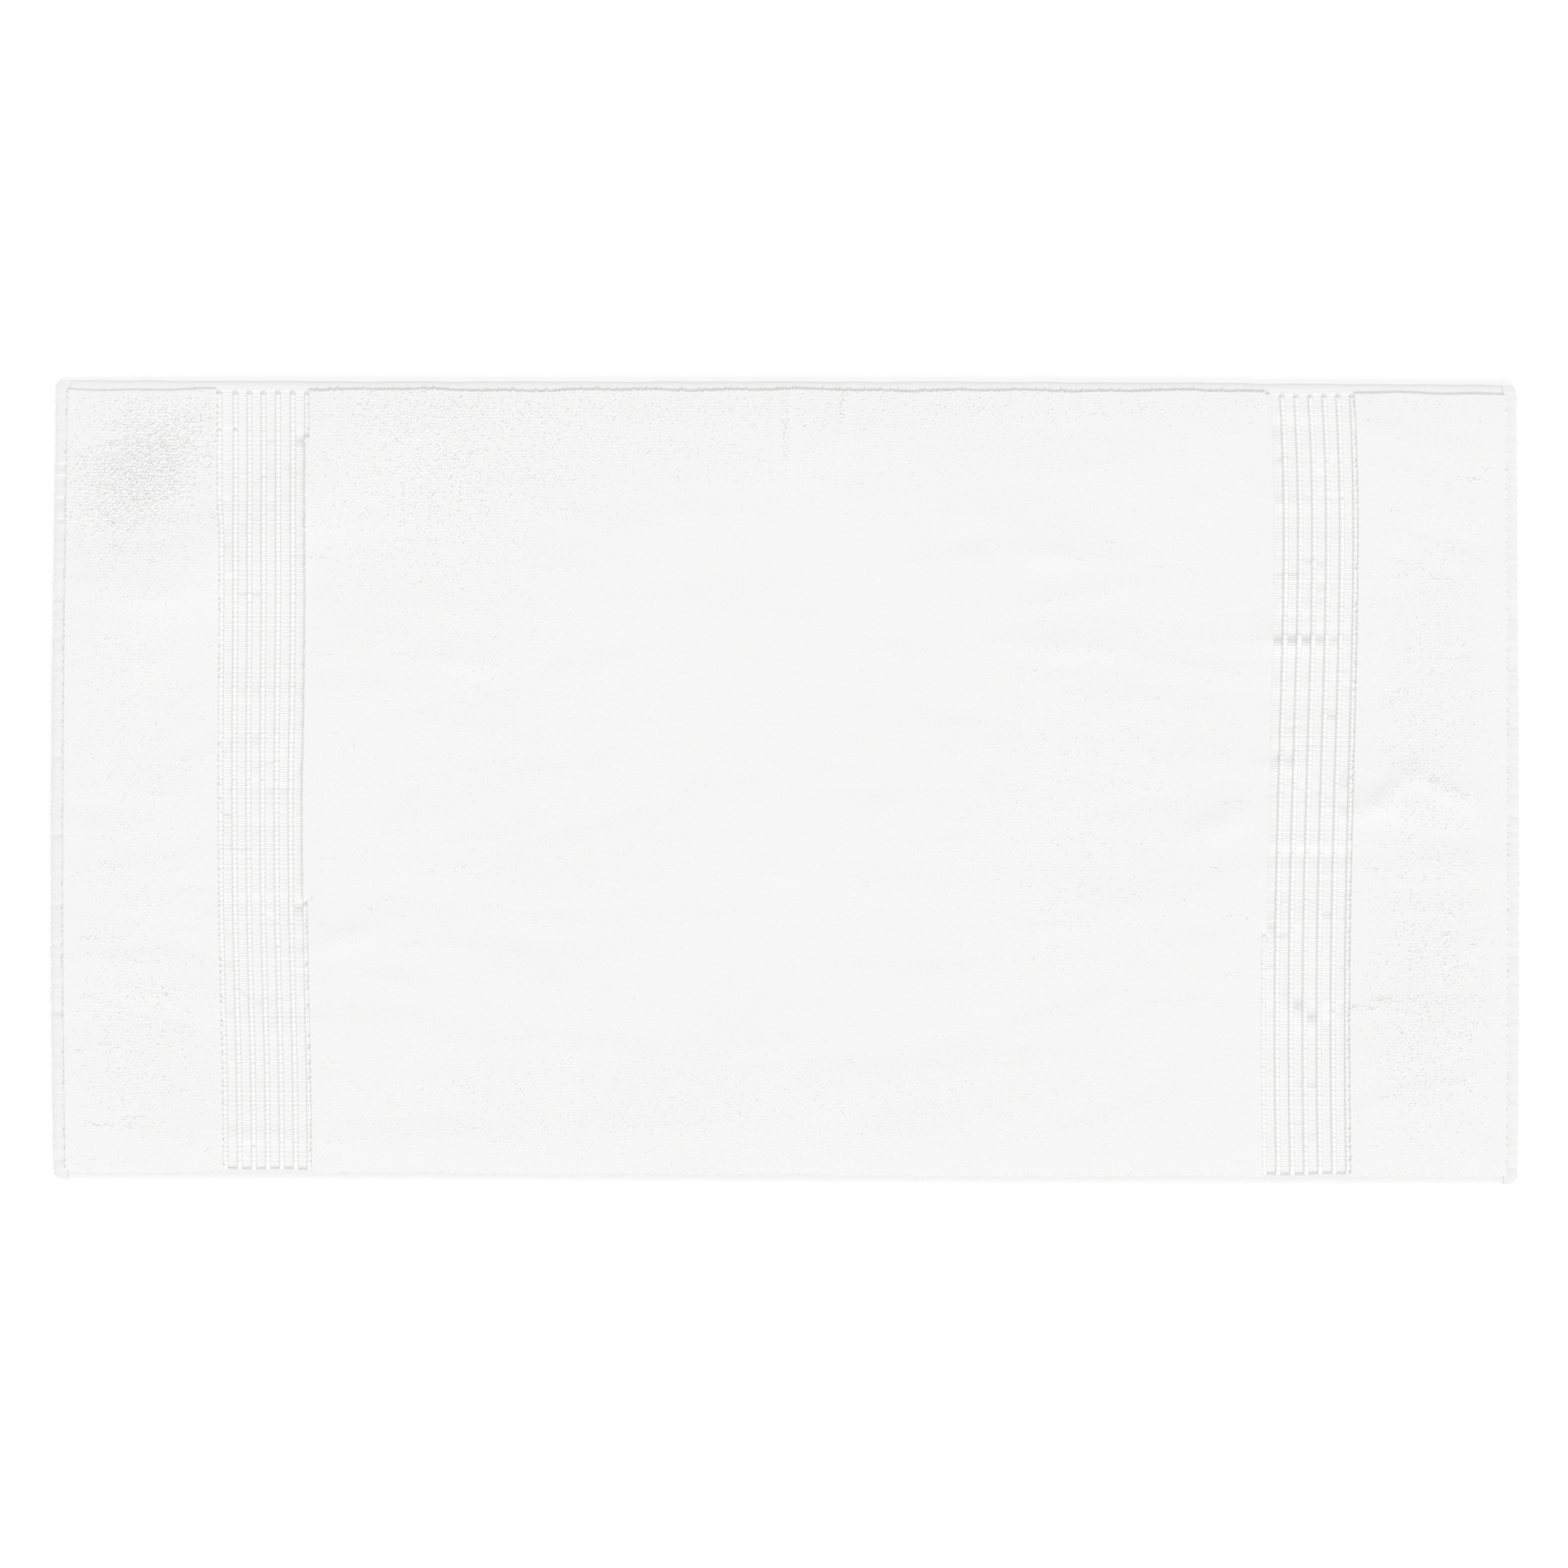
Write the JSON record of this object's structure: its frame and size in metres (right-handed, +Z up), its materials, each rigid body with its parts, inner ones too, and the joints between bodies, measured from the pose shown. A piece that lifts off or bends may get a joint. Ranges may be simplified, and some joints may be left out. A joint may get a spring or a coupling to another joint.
{
  "type": "bath mat",
  "caption": "Rectangular cotton terry bath mat: loops on both faces, a ribbed border band near each end, and folded, stitched hems all round.",
  "frame": {"origin": "on the floor, under the middle of the mat", "axes": "+X along the mat's length, +Y across its width, +Z up from the floor through the mat"},
  "size_m": [0.9, 0.492, 0.007],
  "materials": {
    "terry_pile": "soft matte cotton loops",
    "ground_weave": "matte ribbed cotton weave",
    "hem_weave": "matte flat cotton weave",
    "filling_cord": "matte twisted cotton",
    "sewing_thread": "smooth twisted thread"
  },
  "bodies": {
    "root": {"end_hem_left": "hem_weave", "end_hem_left_bobbin_thread": "sewing_thread", "end_hem_left_needle_thread": "sewing_thread", "end_hem_right": "hem_weave", "end_hem_right_bobbin_thread": "sewing_thread", "end_hem_right_needle_thread": "sewing_thread", "ground_cloth": "ground_weave", "left_band_cord_1": "filling_cord", "left_band_cord_2": "filling_cord", "left_band_cord_3": "filling_cord", "left_band_cord_4": "filling_cord", "left_band_cord_5": "filling_cord", "left_band_cord_6": "filling_cord", "left_band_cord_7": "filling_cord", "lower_pile_centre": "terry_pile", "lower_pile_left": "terry_pile", "lower_pile_right": "terry_pile", "right_band_cord_1": "filling_cord", "right_band_cord_2": "filling_cord", "right_band_cord_3": "filling_cord", "right_band_cord_4": "filling_cord", "right_band_cord_5": "filling_cord", "right_band_cord_6": "filling_cord", "right_band_cord_7": "filling_cord", "side_hem_back": "hem_weave", "side_hem_back_bobbin_thread": "sewing_thread", "side_hem_back_needle_thread": "sewing_thread", "side_hem_front": "hem_weave", "side_hem_front_bobbin_thread": "sewing_thread", "side_hem_front_needle_thread": "sewing_thread", "upper_pile_centre": "terry_pile", "upper_pile_left": "terry_pile", "upper_pile_right": "terry_pile"}
  },
  "joints": []
}
